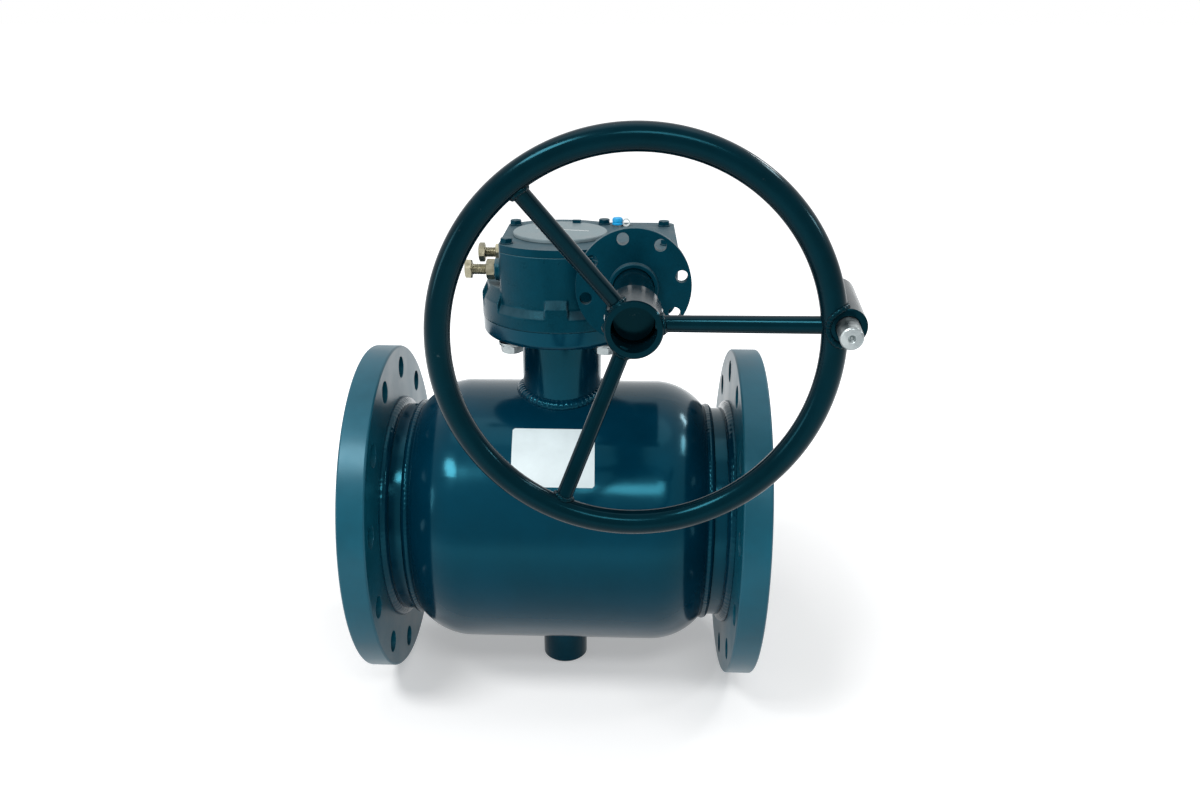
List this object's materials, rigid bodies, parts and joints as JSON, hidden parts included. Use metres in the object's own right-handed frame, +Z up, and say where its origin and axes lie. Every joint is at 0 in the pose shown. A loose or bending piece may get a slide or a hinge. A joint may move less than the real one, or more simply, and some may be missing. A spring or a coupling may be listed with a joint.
{
  "type": "ball valve",
  "caption": "Flanged quarter-turn pipe ball valve in painted steel, driven through a worm gearbox by a spoked handwheel with a sliding handle pin.",
  "frame": {"origin": "where the pipe axis crosses the stem axis, at the centre of the ball", "axes": "+X along the pipe, -Y towards the handwheel, +Z up the stem to the gearbox"},
  "size_m": [0.4364, 0.467, 0.598],
  "materials": {
    "shell_paint": "satin gloss",
    "gearbox_paint": "satin gloss",
    "weld_paint": "gloss",
    "wheel_paint": "gloss",
    "machined_steel": "satin",
    "stainless": "polished",
    "zinc_plate": "satin",
    "yellow_zinc": "satin",
    "spring_steel": "satin",
    "gear_steel": "matte",
    "bronze": "satin",
    "ptfe": "matte",
    "seal_rubber": "matte",
    "gasket": "matte",
    "disc_paint": "satin",
    "cap_plastic": "gloss",
    "black_steel": "matte"
  },
  "bodies": {
    "valve_body": {"body_shell": "shell_paint", "left_neck_pipe": "shell_paint", "right_neck_pipe": "shell_paint", "left_flange": "shell_paint", "right_flange": "shell_paint", "flange_welds": "weld_paint", "shell_welds": "weld_paint", "left_seat_carrier": "machined_steel", "right_seat_carrier": "machined_steel", "left_seat_ring": "stainless", "right_seat_ring": "stainless", "left_seat_insert": "ptfe", "right_seat_insert": "ptfe", "seat_springs": "spring_steel", "seat_seals": "seal_rubber", "lower_trunnion": "shell_paint", "trunnion_washer": "ptfe", "trunnion_weld": "weld_paint", "neck_tube": "shell_paint", "neck_weld": "weld_paint", "stem_thrust_washer": "ptfe", "stem_bush": "bronze", "stem_packing": "ptfe", "gland_bush": "bronze", "mounting_plate": "shell_paint", "mounting_bolts": "zinc_plate", "gearbox_housing": "gearbox_paint", "cover_gasket": "gasket", "gearbox_cover": "gearbox_paint", "cover_screws": "gearbox_paint", "hub_bushes": "bronze", "worm_bushes": "bronze", "shaft_seal": "seal_rubber", "input_flange": "gearbox_paint", "stop_screws": "yellow_zinc", "stop_lock_nuts": "yellow_zinc", "grease_nipple": "zinc_plate", "nipple_cap": "cap_plastic"},
    "closure": {"ball": "stainless", "stem": "stainless", "trunnion_bush": "bronze", "quadrant_hub": "gear_steel", "gear_segment": "bronze", "segment_screws": "black_steel", "stem_key": "machined_steel", "position_disc": "disc_paint"},
    "handwheel": {"worm_shaft": "wheel_paint", "worm": "machined_steel", "wheel_hub": "wheel_paint", "wheel_spokes": "wheel_paint", "wheel_rim": "wheel_paint", "wheel_welds": "wheel_paint", "hub_pin": "machined_steel", "handle_sleeve": "wheel_paint", "handle_plug": "wheel_paint"},
    "grip_pin": {"handle_pin": "zinc_plate"}
  },
  "joints": [
    {"name": "handwheel_turn", "type": "hinge", "parent": "valve_body", "child": "handwheel", "pos_m": [0.06875, 0, 0.263], "axis": [0, 1, 0], "range_deg": [0, 4050]},
    {"name": "valve_turn", "type": "hinge", "parent": "valve_body", "child": "closure", "pos_m": [0, 0, 0], "axis": [0, 0, -1], "range_deg": [0, 90]},
    {"name": "grip_slide", "type": "slide", "parent": "handwheel", "child": "grip_pin", "axis": [-0.0865, -0.9962, -0.0106], "range_m": [0, 0.057]}
  ],
  "couplings": [
    {"joint": "valve_turn", "follows": "handwheel_turn", "ratio": 0.022222}
  ]
}
